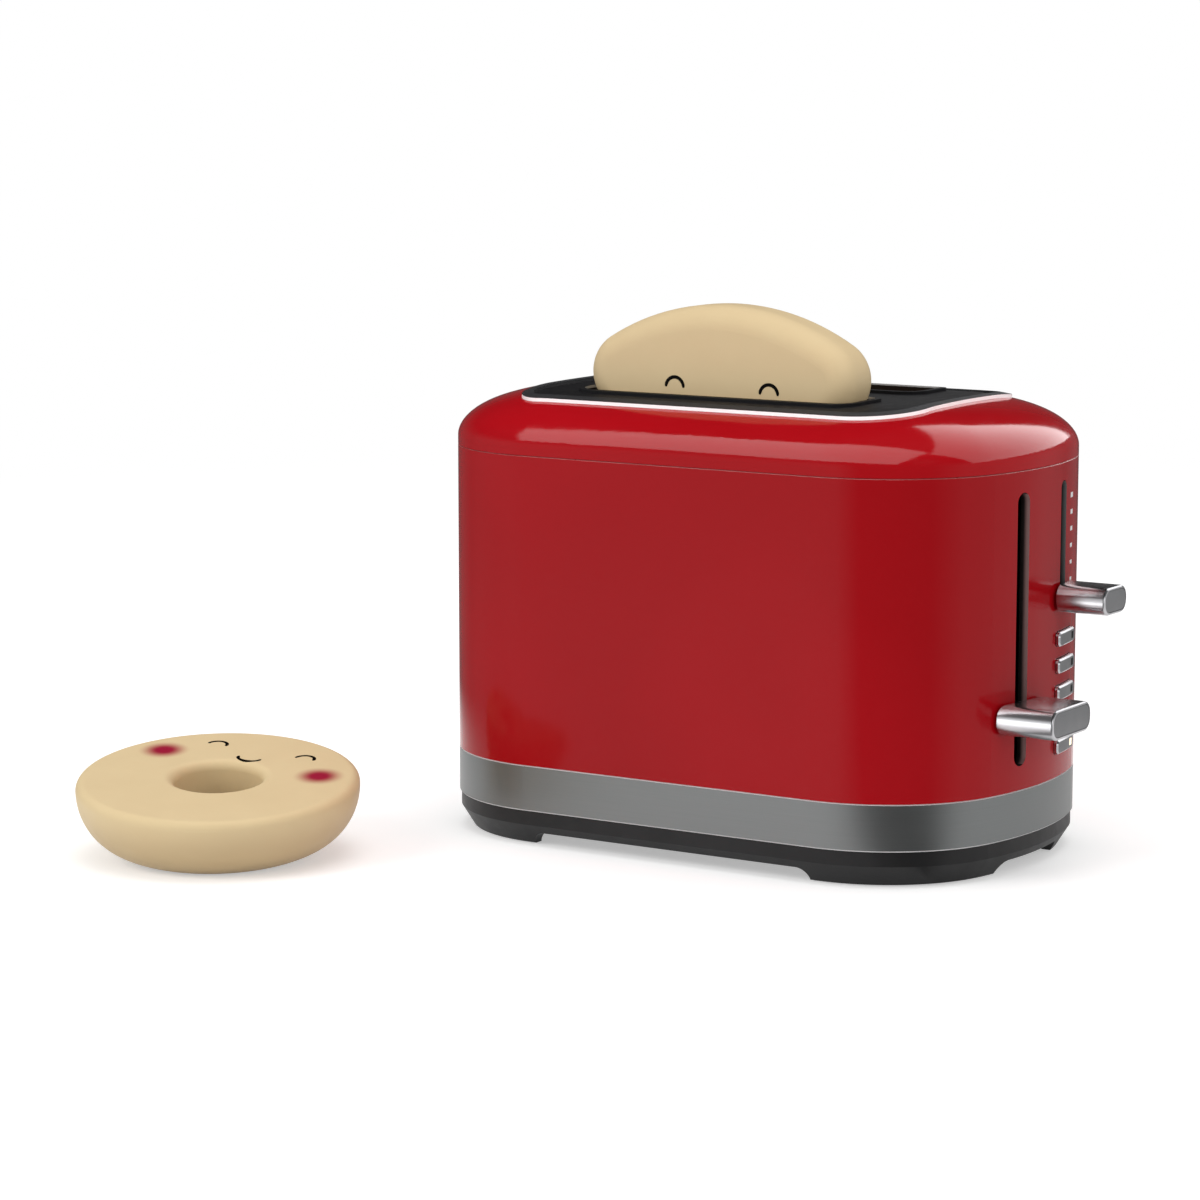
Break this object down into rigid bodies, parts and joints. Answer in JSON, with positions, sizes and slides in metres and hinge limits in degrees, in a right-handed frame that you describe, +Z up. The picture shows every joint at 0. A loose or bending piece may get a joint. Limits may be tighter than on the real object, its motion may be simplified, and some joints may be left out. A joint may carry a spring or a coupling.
{
  "type": "toy toaster",
  "caption": "Toy pop-up toaster with two bread slots, a sliding lift lever, a browning slider, push keys, a bread slice in one slot and a loose half bagel.",
  "frame": {"origin": "centre of the toaster body's plan, on the surface that its feet stand on", "axes": "+X along the body to the control end, -Y out of the long face in front of the loaded slot, +Z up"},
  "size_m": [0.2887, 0.2289, 0.172],
  "materials": {
    "black_plastic": "fine satin texture",
    "pad_rubber": "matt",
    "screw_steel": "zinc plated",
    "cell_jacket": "printed jacket, plain",
    "satin_band": "satin",
    "red_gloss": "high gloss",
    "bright_trim": "polished",
    "panel_black": "satin",
    "liner_black": "matt",
    "frame_plastic": "moulded",
    "rod_steel": "drawn",
    "board_green": "solder resist",
    "bread": "smooth matt",
    "knob_chrome": "polished",
    "knob_grey": "satin",
    "key_grey": "satin chrome",
    "key_lens": "smoked",
    "key_lens_lit": "lit"
  },
  "bodies": {
    "housing": {"base_tray": "black_plastic", "foot_pads": "pad_rubber", "base_screws": "screw_steel", "battery_door": "black_plastic", "door_screw": "screw_steel", "battery_cells": "cell_jacket", "metal_band": "satin_band", "body_shell": "red_gloss", "top_cover": "red_gloss", "panel_trim": "bright_trim", "top_panel": "panel_black", "slot_trim_front": "bright_trim", "slot_trim_rear": "bright_trim", "slot_liner_front": "liner_black", "slot_liner_rear": "liner_black", "chassis": "frame_plastic", "chassis_screws": "screw_steel", "guide_rods": "rod_steel", "lift_spring_front": "rod_steel", "lift_spring_rear": "rod_steel", "circuit_board": "board_green", "board_screws": "screw_steel", "button_switches": "liner_black", "slide_control": "liner_black", "loose_bagel_half": "bread"},
    "lift": {"lift_carriage": "frame_plastic", "bread_cradle_front": "rod_steel", "bread_cradle_rear": "rod_steel", "lever_arm": "rod_steel", "lever_knob": "knob_chrome", "lever_knob_face": "knob_grey", "toast_slice": "bread"},
    "browning_slider": {"slider_stem": "liner_black", "slider_knob": "knob_chrome", "slider_knob_face": "knob_grey"},
    "key_1": {"button_1": "key_grey", "button_lens_1": "key_lens_lit"},
    "key_2": {"button_2": "key_grey", "button_lens_2": "key_lens"},
    "key_3": {"button_3": "key_grey", "button_lens_3": "key_lens"},
    "key_4": {"button_4": "key_grey", "button_lens_4": "key_lens"},
    "key_5": {"button_5": "key_grey", "button_lens_5": "key_lens"}
  },
  "joints": [
    {"name": "lever_slide", "type": "slide", "parent": "housing", "child": "lift", "axis": [0, 0, 1], "range_m": [-0.008, 0.061], "deforming": ["lift_spring_front", "lift_spring_rear"]},
    {"name": "browning_slide", "type": "slide", "parent": "housing", "child": "browning_slider", "axis": [0, 0, 1], "range_m": [0, 0.0315]},
    {"name": "key_1_press", "type": "slide", "parent": "housing", "child": "key_1", "axis": [-1, 0, 0], "range_m": [0, 0.0012], "stiffness_N_per_m": 800, "springref_m": -0.0004},
    {"name": "key_2_press", "type": "slide", "parent": "housing", "child": "key_2", "axis": [-1, 0, 0], "range_m": [0, 0.0012], "stiffness_N_per_m": 800, "springref_m": -0.0004},
    {"name": "key_3_press", "type": "slide", "parent": "housing", "child": "key_3", "axis": [-1, 0, 0], "range_m": [0, 0.0012], "stiffness_N_per_m": 800, "springref_m": -0.0004},
    {"name": "key_4_press", "type": "slide", "parent": "housing", "child": "key_4", "axis": [-1, 0, 0], "range_m": [0, 0.0012], "stiffness_N_per_m": 800, "springref_m": -0.0004},
    {"name": "key_5_press", "type": "slide", "parent": "housing", "child": "key_5", "axis": [-1, 0, 0], "range_m": [0, 0.0012], "stiffness_N_per_m": 800, "springref_m": -0.0004}
  ]
}
